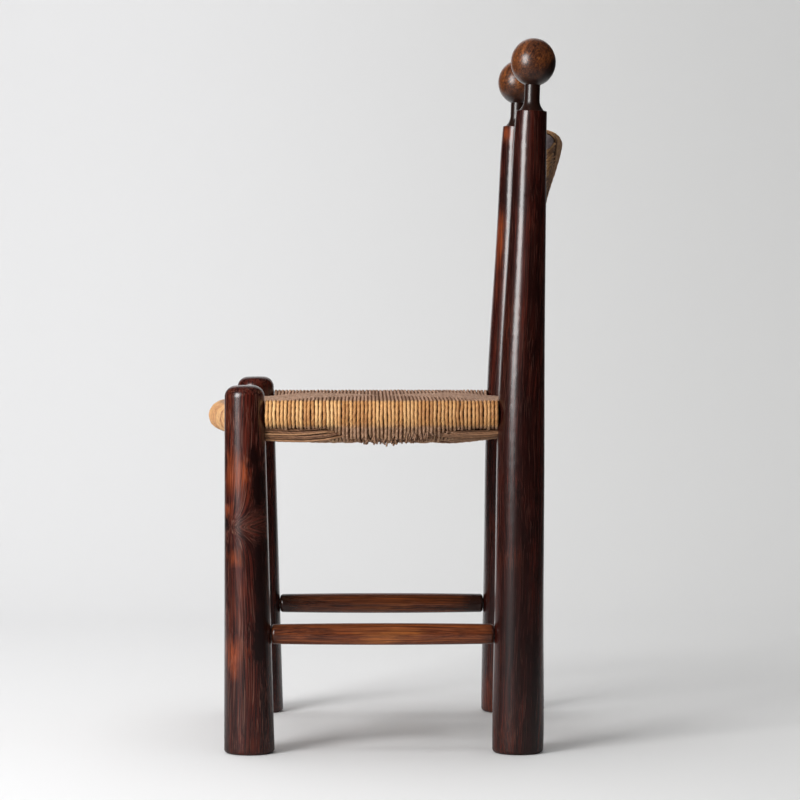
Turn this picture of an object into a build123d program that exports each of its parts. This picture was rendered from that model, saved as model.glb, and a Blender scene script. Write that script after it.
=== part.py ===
from build123d import *
from dataclasses import dataclass
from math import acos, asin, cos, pi, radians, sin, sqrt, tan
import os

# Side chair: four round tapered posts, two ball finials, round stretchers, and a seat and a back of twisted
# rush woven over round rails. Every rail and stretcher ends in a round tenon, glued in a blind mortise.
#
# Frame: +Z up, the chair faces -Y, and +X is the sitter's left. The origin is on the floor, in the middle
# of the overall width and depth. Lengths are millimetres and angles are degrees.

# ---- Plan ----
axis_width = 400.0  # between the left and right post axes
axis_depth = 360.0  # from front leg axis to rear post axis, at the height of the side seat rails

# ---- Front legs ----
leg_height = 480.0
leg_foot_d = 66.0
leg_top_d = 51.5
leg_lean = 0.7  # the top stands forward of the foot
dome_round = 15.0  # rounding of the top's edge
dome_rise = 1.5  # crown of the top inside that rounding
foot_round = 5.0  # rounding of every foot

# ---- Rear posts ----
post_height = 836.0  # floor to the shoulder under the finial
post_foot_d = 66.5
post_seat_d = 62.0  # where the slow taper turns into the quick one
post_top_d = 40.0
taper_turn_drop = 12.0  # that place lies this far below the side seat rails
rake_low = 0.5  # backward rake below the bend
rake_high = 2.0  # backward rake above the bend
bend_start_drop = 62.0  # the bend starts this far below the side seat rails
bend_length = 170.0
shoulder_round = 1.0

# ---- Finials ----
ball_d = 58.4
ball_height = 62.4  # the ball is a little taller than wide
neck_d = 20.0
neck_foot_d = 33.0
neck_flare = 15.0  # the neck widens over this height above the shoulder
neck_length = 33.5  # shoulder to the underside of the ball
finial_tenon_d = 16.0

# ---- Seat ----
seat_rail_d = 28.0
seat_tenon_d = 16.0
front_rail_tenon = 33.0  # tenon lengths, longer where the rail runs into its post aslant or the post is thick
rear_rail_tenon = 36.0
side_rail_drop = 38.0  # from the top of a front leg down to the side rails' axes
cross_rail_drop = 8.0  # the front and rear rails lie lower than the side rails
front_bow = 37.0
strand_d = 5.0  # one strand of twisted rush
weave_lap = 0.4  # the strands round a rail stand proud of the flat of the weave by this
pocket_wall = 2.0  # weave between a rail and the stuffing
belly_drop = 26.0  # how far the underside hangs below the side rails' rush
belly_slope = 0.4  # how steeply the underside starts down from the rails
seat_fall = 90.0  # length over which the top falls to the front and rear rails
crossing_over = 3.0  # how far the outlines that shape the weave run past each other where they cross

# ---- Stretchers ----
stretcher_mid_d = 28.5
stretcher_end_d = 26.0
stretcher_tenon_d = 16.0
side_stretcher_z = 155.0
cross_stretcher_rise = 42.0  # the front and rear stretchers clear the side ones' tenons

# ---- Back ----
back_rail_d = 21.5
back_tenon_d = 13.0
top_rail_drop = 37.0  # from the posts' shoulders down to the top rail's axis
panel_height = 164.0  # from the bottom rail's axis to the top rail's
top_bow = 36.0
bottom_bow = 14.0
rod_inset = 80.0  # from a post's axis to the upright rod at the side of the woven back
rod_d = 12.0
rod_tenon_d = 8.0
rod_tenon_length = 6.0
waist = 14.0  # thickness of the woven back where its strands cross, half way up
shoulder_thickness = 24.0  # its thickness a quarter of the height from either rail

peg_d = 6.0  # the pegs that lock the top rail's tenons
peg_length = 15.0
peg_turn = 22.0  # each enters its post this far forward of the side that faces the other post

# ---- Fits ----
end_round = 4.0  # rounding of the ends of rails and stretchers, where their tenons start
tenon_length = 28.0
glue_gap = 0.15  # around a tenon
shoulder_gap = 0.5  # between a rail's end and its post
tenon_end_gap = 1.0
rush_gap = 0.25  # between rush and wood
mortise_wall = 3.0  # wood left between two tenons in one post
saw_waste = 10.0  # what a cut runs past the wood, and what is sawn off a leg's foot


# ---- Lines and sizes that several pieces share ----
half_width = axis_width / 2
side_rail_z = leg_height - side_rail_drop
cross_rail_z = side_rail_z - cross_rail_drop
cross_stretcher_z = side_stretcher_z + cross_stretcher_rise
top_rail_z = post_height - top_rail_drop
bottom_rail_z = top_rail_z - panel_height
taper_turn_z = side_rail_z - taper_turn_drop
bend_start_z = side_rail_z - bend_start_drop
rod_x = half_width - rod_inset
seat_sleeve_r = seat_rail_d / 2 + strand_d
back_sleeve_r = back_rail_d / 2 + strand_d
rod_sleeve_r = rod_d / 2 + strand_d


def leg_drift(z):
    """How far back the front leg's axis lies at height z, from where it is at the side rails."""
    return (side_rail_z - z) * tan(radians(leg_lean))


def rake_slope(z):
    """Backward slope of the rear post's axis at height z."""
    low, high = tan(radians(rake_low)), tan(radians(rake_high))
    turned = min(max(z - bend_start_z, 0), bend_length) / bend_length
    return low + (high - low) * turned


def rake_run(z):
    """How far back the rear post's axis lies at height z, from where it is at the floor."""
    low, high = tan(radians(rake_low)), tan(radians(rake_high))
    in_bend = min(max(z - bend_start_z, 0), bend_length)
    above_bend = max(z - bend_start_z - bend_length, 0)
    return low * z + (high - low) * (in_bend**2 / (2 * bend_length) + above_bend)


front_reach = front_bow + seat_sleeve_r - leg_drift(cross_rail_z)
rear_reach = rake_run(top_rail_z) - rake_run(side_rail_z) + top_bow + back_sleeve_r
leg_y = (front_reach - rear_reach - axis_depth) / 2
post_y = leg_y + axis_depth


def leg_axis_y(z):
    return leg_y + leg_drift(z)


def post_axis_y(z):
    return post_y + rake_run(z) - rake_run(side_rail_z)


def leg_r(z):
    return (leg_foot_d + (leg_top_d - leg_foot_d) * z / leg_height) / 2


def post_r(z):
    if z < taper_turn_z:
        return (post_foot_d + (post_seat_d - post_foot_d) * z / taper_turn_z) / 2
    share = (z - taper_turn_z) / (post_height - taper_turn_z)
    return (post_seat_d + (post_top_d - post_seat_d) * share) / 2


# ---- Posts ----
def front_leg(side, grow=0.0):
    """A tapered leg with a domed top. side is 1 for left and -1 for right; grow adds to its radius."""
    top = Vector(leg_top_d / 2 + grow, 0, leg_height - dome_rise)
    foot = Vector(leg_r(-saw_waste) + grow, 0, -saw_waste)
    crown = ThreePointArc(top, (top.X / 2, 0, leg_height - dome_rise / 4), (0, 0, leg_height))
    outline = Polyline((0, 0, leg_height), (0, 0, -saw_waste), foot, top)
    leg = revolve(make_face(outline.edges() + crown.edges()), Axis.Z)
    leg = fillet(leg.edges().sort_by_distance(top)[0], dome_round)
    lean = Plane(
        origin=(side * half_width, leg_axis_y(0), 0),
        x_dir=(1, 0, 0),
        z_dir=(0, -sin(radians(leg_lean)), cos(radians(leg_lean))),
    )
    leg = lean.location * leg
    leg &= Pos(side * half_width, leg_axis_y(0), 0) * Box(
        2 * leg_foot_d, 2 * leg_foot_d, 2 * leg_height, align=(Align.CENTER, Align.CENTER, Align.MIN)
    )
    return fillet(leg.edges().group_by(Axis.Z)[0], foot_round)


def post_plane(side, z):
    """The plane square to the rear post's axis at height z."""
    tilt = 0 if z == 0 else rake_slope(z)
    return Plane(origin=(side * half_width, post_axis_y(z), z), x_dir=(1, 0, 0), z_dir=(0, tilt, 1))


def rear_post(side, grow=0.0):
    """A tapered post that bends back above the seat."""
    lower = [taper_turn_z * share for share in (0, 0.35, 0.7, 0.9)]
    upper = [taper_turn_z + (post_height - taper_turn_z) * share for share in (0.1, 0.35, 0.7, 1)]
    post = loft([post_plane(side, z) * Circle(post_r(z) + grow) for z in lower + upper])
    post = fillet(post.edges().group_by(Axis.Z)[0], foot_round)
    return fillet(post.edges().group_by(Axis.Z)[-1], shoulder_round)


# ---- Finials ----
finial_tenon = post_height - top_rail_z - back_tenon_d / 2 - mortise_wall - tenon_end_gap


def finial(side):
    """A ball on a straight neck with a flared foot, turned in one piece with its tenon."""
    ball_r, ball_half, neck_r = ball_d / 2, ball_height / 2, neck_d / 2
    join_angle = -acos(neck_r / ball_r)  # where the neck meets the ball, from the ball's widest place
    centre_z = neck_length - ball_half * sin(join_angle)
    steps = 13
    angles = [join_angle + (pi / 2 - join_angle) * step / steps for step in range(steps + 1)]
    ball = Spline([(ball_r * cos(a), 0, centre_z + ball_half * sin(a)) for a in angles])
    flare = Spline([(neck_foot_d / 2, 0, 0), (neck_r, 0, neck_flare)], tangents=[(-0.8, 0, 1), (0, 0, 1)])
    neck = Line(flare @ 1, ball @ 0)
    stem = Polyline(
        (0, 0, centre_z + ball_half),
        (0, 0, -finial_tenon),
        (finial_tenon_d / 2, 0, -finial_tenon),
        (finial_tenon_d / 2, 0, 0),
        (neck_foot_d / 2, 0, 0),
    )
    return post_plane(side, post_height).location * revolve(
        make_face(stem.edges() + flare.edges() + neck.edges() + ball.edges()), Axis.Z
    )



# ---- Rails and stretchers ----
@dataclass
class Rail:
    """A round rail between two posts, with a round tenon on each end. bow is how far its middle is back."""

    start: tuple  # where its axis meets the first post's axis
    end: tuple
    post_radii: tuple  # of the two posts at those points
    d: float
    tenon_d: float
    tenon_lengths: tuple = (tenon_length, tenon_length)
    bow: float = 0.0
    end_d: float = 0.0  # of a stretcher that is thinner at its ends

    def path(self, first_cut=0.0, last_cut=0.0):
        """The axis, cut short at both ends by these distances."""
        start, end = Vector(self.start), Vector(self.end)
        if not self.bow:
            along = (end - start).normalized()
            return Line(start + along * first_cut, end - along * last_cut)
        span = (end - start).length
        bend_r = (span**2 / 4 + self.bow**2) / (2 * abs(self.bow))
        middle = (start + end) * 0.5 + Vector(0, self.bow, 0)
        turns = [asin(span / 2 / bend_r) - 2 * asin(cut / 2 / bend_r) for cut in (first_cut, last_cut)]
        sign = self.bow / abs(self.bow)
        ends = [
            middle + Vector(side * bend_r * sin(turn), -sign * bend_r * (1 - cos(turn)), 0)
            for side, turn in zip((-1, 1), turns)
        ]
        return ThreePointArc(ends[0], middle, ends[1])

    def round(self, d, first_cut=0.0, last_cut=0.0):
        """A round bar along the axis."""
        path = self.path(first_cut, last_cut)
        return sweep(Plane(origin=path @ 0, z_dir=path % 0) * Circle(d / 2), path=path)

    def shoulders(self):
        """For each end, where the rail stops and the direction into the post."""
        path = self.path(*[r + shoulder_gap for r in self.post_radii])
        points = (path @ 0, path @ 1)
        return [
            (point, (Vector(axis) - point).normalized()) for point, axis in zip(points, (self.start, self.end))
        ]

    def tenon(self, end, grow=0.0, deeper=0.0):
        """The tenon at end 0 or 1, from inside the rail. With grow and deeper it shapes its mortise."""
        point, direction = self.shoulders()[end]
        length = end_round + self.tenon_lengths[end] + deeper
        plane = Plane(origin=point - direction * end_round, z_dir=direction)
        return plane.location * Cylinder(
            self.tenon_d / 2 + grow, length, align=(Align.CENTER, Align.CENTER, Align.MIN)
        )

    def mortise(self, end):
        return self.tenon(end, glue_gap, tenon_end_gap)

    def solid(self):
        cuts = [r + shoulder_gap for r in self.post_radii]
        if self.end_d:
            path = self.path(*cuts)
            half, end_r = path.length / 2, self.end_d / 2
            back = ThreePointArc((end_r, 0, -half), (self.d / 2, 0, 0), (end_r, 0, half))
            inside = Polyline((end_r, 0, half), (0, 0, half), (0, 0, -half), (end_r, 0, -half))
            bar = revolve(make_face(inside.edges() + back.edges()), Axis.Z)
            bar = Plane(origin=path @ 0.5, z_dir=path % 0.5).location * bar
        else:
            bar = self.round(self.d, *cuts)
        rims = [e for e in bar.edges() if e.geom_type == GeomType.CIRCLE and e.length < 4 * self.d]
        ends = [min(rims, key=lambda e: (e.center() - point).length) for point, _ in self.shoulders()]
        bar = fillet(ends, min(end_round, self.d / 3))
        return bar + self.tenon(0) + self.tenon(1)


def on_leg(side, z):
    return (side * half_width, leg_axis_y(z), z)


def on_post(side, z):
    return (side * half_width, post_axis_y(z), z)


def side_rail(side, z, d, tenon_d, leg_tenon, post_tenon, end_d=0.0):
    """A rail that runs back from a front leg to a rear post."""
    radii, lengths = (leg_r(z), post_r(z)), (leg_tenon, post_tenon)
    return Rail(on_leg(side, z), on_post(side, z), radii, d, tenon_d, lengths, 0.0, end_d)


def cross_rail(on_axis, r, z, d, tenon_d, bow=0.0, end_d=0.0, length=tenon_length):
    """A rail that runs from a right leg or post to the left one."""
    return Rail(on_axis(-1, z), on_axis(1, z), (r, r), d, tenon_d, (length, length), bow, end_d)


def short_tenon(r):
    """A side seat rail's tenon, which stops short of the cross rail's tenon in the same post."""
    return r - shoulder_gap - tenon_end_gap - seat_tenon_d / 2 - mortise_wall


sides = {"left": 1, "right": -1}
stretcher_sizes = dict(d=stretcher_mid_d, tenon_d=stretcher_tenon_d, end_d=stretcher_end_d)
leg_short, post_short = short_tenon(leg_r(side_rail_z)), short_tenon(post_r(side_rail_z))
side_rails, side_stretchers = {}, {}
for name, side in sides.items():
    side_rails[name] = side_rail(side, side_rail_z, seat_rail_d, seat_tenon_d, leg_short, post_short)
    side_stretchers[name] = side_rail(
        side, side_stretcher_z, leg_tenon=tenon_length, post_tenon=tenon_length, **stretcher_sizes
    )
seat_sizes = dict(z=cross_rail_z, d=seat_rail_d, tenon_d=seat_tenon_d)
front_rail = cross_rail(on_leg, leg_r(cross_rail_z), bow=-front_bow, length=front_rail_tenon, **seat_sizes)
rear_rail = cross_rail(on_post, post_r(cross_rail_z), length=rear_rail_tenon, **seat_sizes)
front_stretcher = cross_rail(on_leg, leg_r(cross_stretcher_z), cross_stretcher_z, **stretcher_sizes)
rear_stretcher = cross_rail(on_post, post_r(cross_stretcher_z), cross_stretcher_z, **stretcher_sizes)
top_rail = cross_rail(on_post, post_r(top_rail_z), top_rail_z, back_rail_d, back_tenon_d, top_bow)
bottom_rail = cross_rail(on_post, post_r(bottom_rail_z), bottom_rail_z, back_rail_d, back_tenon_d, bottom_bow)


def bow_at(rail, x):
    """How far back a bowed rail's axis lies at x, from the line between its ends."""
    bend_r = (half_width**2 + rail.bow**2) / (2 * rail.bow)
    return sqrt(bend_r**2 - x**2) - (bend_r - rail.bow)


def side_rod(side):
    """The upright rod at one edge of the woven back, from the bottom rail to the top rail."""
    ends = [
        (side * rod_x, post_axis_y(z) + bow_at(rail, rod_x), z)
        for rail, z in ((bottom_rail, bottom_rail_z), (top_rail, top_rail_z))
    ]
    lengths = (rod_tenon_length, rod_tenon_length)
    return Rail(ends[0], ends[1], (back_rail_d / 2, back_rail_d / 2), rod_d, rod_tenon_d, lengths)


rods = {name: side_rod(side) for name, side in sides.items()}


def peg(side, grow=0.0):
    """A peg from the inner face of a rear post into the top rail's tenon. grow gives the shape of its hole."""
    inward = Vector(-side * cos(radians(peg_turn)), -sin(radians(peg_turn)), 0)
    head = Vector(on_post(side, top_rail_z)) + inward * (post_r(top_rail_z) + grow)
    length = peg_length + 2 * grow
    return Plane(origin=head, z_dir=-inward).location * Cylinder(
        peg_d / 2 + grow, length, align=(Align.CENTER, Align.CENTER, Align.MIN)
    )


# ---- Seat ----
flat_r = seat_sleeve_r - weave_lap  # from a rail's axis to the flat of the weave
seat_top = side_rail_z + flat_r
side_under = side_rail_z - flat_r
cross_top = cross_rail_z + flat_r
cross_under = cross_rail_z - flat_r
belly_z = side_under - belly_drop


def cushion(skin, edge):
    """The woven seat between the rails' axes. skin is taken off its top and underside, edge off its plan."""
    far = axis_width
    sag = Spline(
        [(-half_width, 0, side_under + skin), (0, 0, belly_z + skin), (half_width, 0, side_under + skin)],
        tangents=[(1, 0, -belly_slope), (1, 0, belly_slope)],
    )
    frame = Polyline(
        (half_width, 0, side_under + skin),
        (half_width, 0, seat_top - skin),
        (-half_width, 0, seat_top - skin),
        (-half_width, 0, side_under + skin),
    )
    across = extrude(make_face(sag.edges() + frame.edges()), far, dir=(0, 1, 0), both=True)

    front, rear = leg_axis_y(cross_rail_z), post_axis_y(cross_rail_z)
    nose = front - front_bow - crossing_over
    high, low = seat_top + crossing_over, belly_z - crossing_over
    falls = [(front, cross_top), (front + seat_fall, high), (rear - seat_fall, high), (rear, cross_top)]
    tops = [(0, y, z - skin) for y, z in falls]
    lows = [(0, y, z + skin) for y, z in ((front, cross_under), ((front + rear) / 2, low), (rear, cross_under))]
    top = (
        Spline([tops[0], tops[1]], tangents=[(0, 1, 0), (0, 1, 0.1)]).edges()
        + Line(tops[1], tops[2]).edges()
        + Spline([tops[2], tops[3]], tangents=[(0, 1, -0.1), (0, 1, 0)]).edges()
    )
    under = Spline(lows, tangents=[(0, 1, -belly_slope), (0, 1, belly_slope)]).edges()
    back = Line(tops[3], lows[2]).edges()
    nose_line = Polyline(lows[0], (0, nose, lows[0][2]), (0, nose, tops[0][2]), tops[0]).edges()
    along = extrude(make_face(top + under + back + nose_line), far, dir=(1, 0, 0), both=True)

    front_line = front_rail.path()
    corners = Polyline(front_line @ 1, on_post(1, cross_rail_z), on_post(-1, cross_rail_z), front_line @ 0)
    plan = make_face(front_line.edges() + corners.edges())
    if edge:
        plan = offset(plan, -edge, kind=Kind.INTERSECTION)
    plan = extrude(plan, far, dir=(0, 0, 1), both=True)
    return across & along & plan


def fuse(shapes):
    """One solid from overlapping shapes."""
    total = shapes[0]
    for shape in shapes[1:]:
        total = total + shape
    return total


def less(shape, tools):
    """The shape with all the tools cut away."""
    for tool in tools:
        shape = shape - tool
    return shape


def parallel(rail, d):
    """A bar of another diameter along the whole of a rail's axis, from post axis to post axis."""
    return rail.round(d)


def grown_posts(gap):
    return [post(side, gap) for post in (front_leg, rear_post) for side in sides.values()]


seat_frame = [side_rails["left"], side_rails["right"], front_rail, rear_rail]
pocket_edge = seat_rail_d / 2 + rush_gap + pocket_wall


def seat_stuffing():
    """The packing between the upper and lower strands, held off the rails and the posts."""
    packing = cushion(strand_d + rush_gap, pocket_edge + rush_gap)
    return less(packing, grown_posts(strand_d + rush_gap))


def seat_rush():
    """The woven seat: a skin of strands over the stuffing and round the four rails."""
    sleeves = [parallel(rail, 2 * seat_sleeve_r) for rail in seat_frame]
    skin = fuse([cushion(0.0, 0.0)] + sleeves)
    pocket = less(cushion(strand_d, pocket_edge), grown_posts(strand_d))
    channels = [parallel(rail, seat_rail_d + 2 * rush_gap) for rail in seat_frame]
    skin = less(skin, [pocket] + channels + grown_posts(rush_gap))
    return max(skin.solids(), key=lambda solid: solid.volume)


# ---- Back ----
def back_band(share, middle_r, edge_r):
    """A curved slice of the woven back, this share of the way from the bottom rail to the top one."""
    z = bottom_rail_z + (top_rail_z - bottom_rail_z) * share
    y = post_axis_y(bottom_rail_z) + (post_axis_y(top_rail_z) - post_axis_y(bottom_rail_z)) * share
    bows = [bow_at(bottom_rail, x) + (bow_at(top_rail, x) - bow_at(bottom_rail, x)) * share for x in (0, rod_x)]
    middle_y, edge_y = y + bows[0], y + bows[1]
    rim = []
    for side in (-1, 1):
        inner = (0, middle_y + side * middle_r, z)
        left, right = (-rod_x, edge_y + side * edge_r, z), (rod_x, edge_y + side * edge_r, z)
        rim += ThreePointArc(left, inner, right).edges()
        near, far = (side * rod_x, edge_y - edge_r, z), (side * rod_x, edge_y + edge_r, z)
        rim += ThreePointArc(near, (side * (rod_x + edge_r), edge_y, z), far).edges()
    return make_face(rim)


def back_rush():
    """The woven back, round its two rails and its two rods. It is thinnest half way up."""
    full, flat = back_sleeve_r, back_sleeve_r - weave_lap
    quarter = (shoulder_thickness / 2, (flat + rod_sleeve_r) / 2)
    slices = [(0, flat, flat), (0.25, *quarter), (0.5, waist / 2, rod_sleeve_r), (0.75, *quarter), (1, flat, flat)]
    web = loft([back_band(*each) for each in slices])
    reach = 2 * (rod_x + flat - weave_lap)
    window = Pos(0, post_y, (bottom_rail_z + top_rail_z) / 2) * Box(reach, axis_depth, top_rail_z)
    sleeves = [parallel(rail, 2 * full) & window for rail in (top_rail, bottom_rail)]
    channels = [parallel(rail, back_rail_d + 2 * rush_gap) for rail in (top_rail, bottom_rail)]
    channels += [parallel(rod, rod_d + 2 * rush_gap) for rod in rods.values()]
    return less(fuse([web] + sleeves), channels)


# ---- Joints cut, and every piece written out ----
def main():
    pieces = {}
    for name, side in sides.items():
        index = (1 + side) // 2  # a cross rail's end on this side
        in_leg = [side_rails[name].mortise(0), side_stretchers[name].mortise(0)]
        in_leg += [rail.mortise(index) for rail in (front_rail, front_stretcher)]
        pieces["front_leg_" + name] = less(front_leg(side), in_leg)

        in_post = [side_rails[name].mortise(1), side_stretchers[name].mortise(1)]
        in_post += [rail.mortise(index) for rail in (rear_rail, rear_stretcher, top_rail, bottom_rail)]
        socket = Cylinder(
            finial_tenon_d / 2 + glue_gap,
            finial_tenon + tenon_end_gap + saw_waste,
            align=(Align.CENTER, Align.CENTER, Align.MIN),
        )
        in_post.append(post_plane(side, post_height).location * (Pos(0, 0, -finial_tenon - tenon_end_gap) * socket))
        pieces["rear_post_" + name] = less(rear_post(side), in_post + [peg(side, glue_gap)])

        pieces["finial_" + name] = finial(side)
        pieces["top_rail_peg_" + name] = peg(side)
        pieces["seat_rail_" + name] = side_rails[name].solid()
        pieces["side_stretcher_" + name] = side_stretchers[name].solid()
        pieces["back_side_rod_" + name] = rods[name].solid()

    pieces["seat_rail_front"] = front_rail.solid()
    pieces["seat_rail_rear"] = rear_rail.solid()
    pieces["front_stretcher"] = front_stretcher.solid()
    pieces["rear_stretcher"] = rear_stretcher.solid()
    pieces["back_rail_top"] = less(
        top_rail.solid(), [rod.mortise(1) for rod in rods.values()] + [peg(side, glue_gap) for side in sides.values()]
    )
    pieces["back_rail_bottom"] = less(bottom_rail.solid(), [rod.mortise(0) for rod in rods.values()])
    pieces["seat_stuffing"] = seat_stuffing()
    pieces["seat_rush"] = seat_rush()
    pieces["back_rush"] = back_rush()

    os.makedirs("parts", exist_ok=True)
    for name, piece in pieces.items():
        export_step(piece, "parts/" + name + ".step")
        solids = piece.solids()
        print(name, len(solids), [s.is_valid for s in solids], round(piece.volume / 1000, 1))


main()
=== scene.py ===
import math
import random

import bpy
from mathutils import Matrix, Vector


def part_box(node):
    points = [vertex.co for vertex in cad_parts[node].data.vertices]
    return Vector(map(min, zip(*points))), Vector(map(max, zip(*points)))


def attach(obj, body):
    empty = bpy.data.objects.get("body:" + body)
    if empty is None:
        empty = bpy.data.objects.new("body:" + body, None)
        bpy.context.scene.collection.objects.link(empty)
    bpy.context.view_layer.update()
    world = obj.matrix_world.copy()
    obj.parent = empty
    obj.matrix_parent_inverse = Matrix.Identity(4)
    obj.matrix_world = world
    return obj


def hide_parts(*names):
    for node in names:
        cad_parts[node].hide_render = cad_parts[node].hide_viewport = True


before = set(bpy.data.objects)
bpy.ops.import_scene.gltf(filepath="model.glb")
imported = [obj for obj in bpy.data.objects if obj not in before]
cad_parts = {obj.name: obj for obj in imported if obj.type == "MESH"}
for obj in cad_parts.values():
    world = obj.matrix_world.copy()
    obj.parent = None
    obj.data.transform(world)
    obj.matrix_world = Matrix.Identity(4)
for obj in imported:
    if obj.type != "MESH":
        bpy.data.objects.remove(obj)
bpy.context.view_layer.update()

# ---------------------------------------------------------------------------------------------------------
# Posts and legs: four turned hardwood poles, rubbed smooth and polished with a dark shellac. The pith of the
# log runs beside each pole, so its year rings come out on the surface as long lines and pointed arches.
# ---------------------------------------------------------------------------------------------------------


class Wire:
    """A node socket that can be written in an expression, such as 1 - mask * 0.5."""

    def __init__(self, board, socket):
        self.board, self.socket = board, socket

    def __add__(self, other):
        return self.board.math("ADD", self, other)

    def __radd__(self, other):
        return self.board.math("ADD", other, self)

    def __sub__(self, other):
        return self.board.math("SUBTRACT", self, other)

    def __rsub__(self, other):
        return self.board.math("SUBTRACT", other, self)

    def __mul__(self, other):
        return self.board.math("MULTIPLY", self, other)

    def __rmul__(self, other):
        return self.board.math("MULTIPLY", other, self)

    def __truediv__(self, other):
        return self.board.math("DIVIDE", self, other)

    def __pow__(self, other):
        return self.board.math("POWER", self, other)

    def ramp(self, start, end):
        """0 before start, 1 past end, and a smooth change between them. The end may lie below the start."""
        settings = {"interpolation_type": "SMOOTHSTEP"}
        return self.board.node("ShaderNodeMapRange", settings, self, start, end, 0.0, 1.0)[0]


class Outputs(list):
    """A node's outputs, each found by its place or by its name."""

    def __getitem__(self, key):
        if isinstance(key, str):
            return next(wire for wire in self if wire.socket.name == key)
        return super().__getitem__(key)


class Board:
    """The node tree of one material, of the room, or of one geometry modifier."""

    def __init__(self, tree):
        self.tree = tree

    def node(self, kind, settings=None, *inputs, **named):
        """Adds a node: its settings first, then its sockets' values or links. Returns its outputs."""
        made = self.tree.nodes.new(kind)
        for key, value in (settings or {}).items():
            setattr(made, key, value)
        live = [socket for socket in made.inputs if socket.enabled]
        pairs = list(zip(live, inputs))
        for key, value in named.items():
            label = key.replace("_", " ")
            pairs.append((next(socket for socket in live if socket.name == label), value))
        for socket, value in pairs:
            if isinstance(value, Wire):
                self.tree.links.new(value.socket, socket)
            elif value is not None:
                socket.default_value = value
        return Outputs(Wire(self, socket) for socket in made.outputs if socket.enabled)

    def math(self, operation, *inputs):
        return self.node("ShaderNodeMath", {"operation": operation}, *inputs)[0]

    def vector(self, operation, *inputs, **named):
        return self.node("ShaderNodeVectorMath", {"operation": operation}, *inputs, **named)[0]

    def mix(self, share, first, second):
        """Mixes two colours, each a wire or three numbers."""
        first, second = [colour if isinstance(colour, Wire) else (*colour, 1.0) for colour in (first, second)]
        return self.node("ShaderNodeMix", {"data_type": "RGBA"}, share, first, second)[0]

    def moved(self, place, location=(0, 0, 0), rotation=(0, 0, 0), scale=(1, 1, 1)):
        """A place in a pattern that is scaled, then turned, then shifted."""
        return self.node("ShaderNodeMapping", {"vector_type": "POINT"}, place, location, rotation, scale)[0]

    def texture(self, place, scale, detail, roughness, distortion, seed):
        settings, where = (None, (place,)) if seed is None else ({"noise_dimensions": "4D"}, (place, seed))
        sizes = dict(Scale=scale, Detail=detail, Roughness=roughness, Distortion=distortion)
        return self.node("ShaderNodeTexNoise", settings, *where, **sizes)

    def noise(self, place, scale, detail=2.0, roughness=0.5, distortion=0.0, seed=None):
        """A noise value from 0 to 1 at a place. Each seed gives another noise."""
        return self.texture(place, scale, detail, roughness, distortion, seed)["Fac"]

    def drift(self, place, scale, detail, amount, seed=None):
        """A shift that wanders from place to place, by up to half the amount each way."""
        noise = self.texture(place, scale, detail, 0.5, 0.0, seed)["Color"]
        return self.vector("SCALE", self.vector("SUBTRACT", noise, (0.5, 0.5, 0.5)), Scale=amount)

    def finish(self, **sockets):
        """Ends a material with its shader, whose sockets are given by name."""
        shader = self.node("ShaderNodeBsdfPrincipled", None, **sockets)[0]
        self.node("ShaderNodeOutputMaterial", None, shader)


def new_material(name):
    """An empty material and the board of its nodes."""
    material = bpy.data.materials.new(name)
    material.use_nodes = True
    material.node_tree.nodes.clear()
    return material, Board(material.node_tree)


def dress(piece, material):
    """Gives a piece of the frame its finish."""
    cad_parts[piece].data.materials.clear()
    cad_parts[piece].data.materials.append(material)


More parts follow.
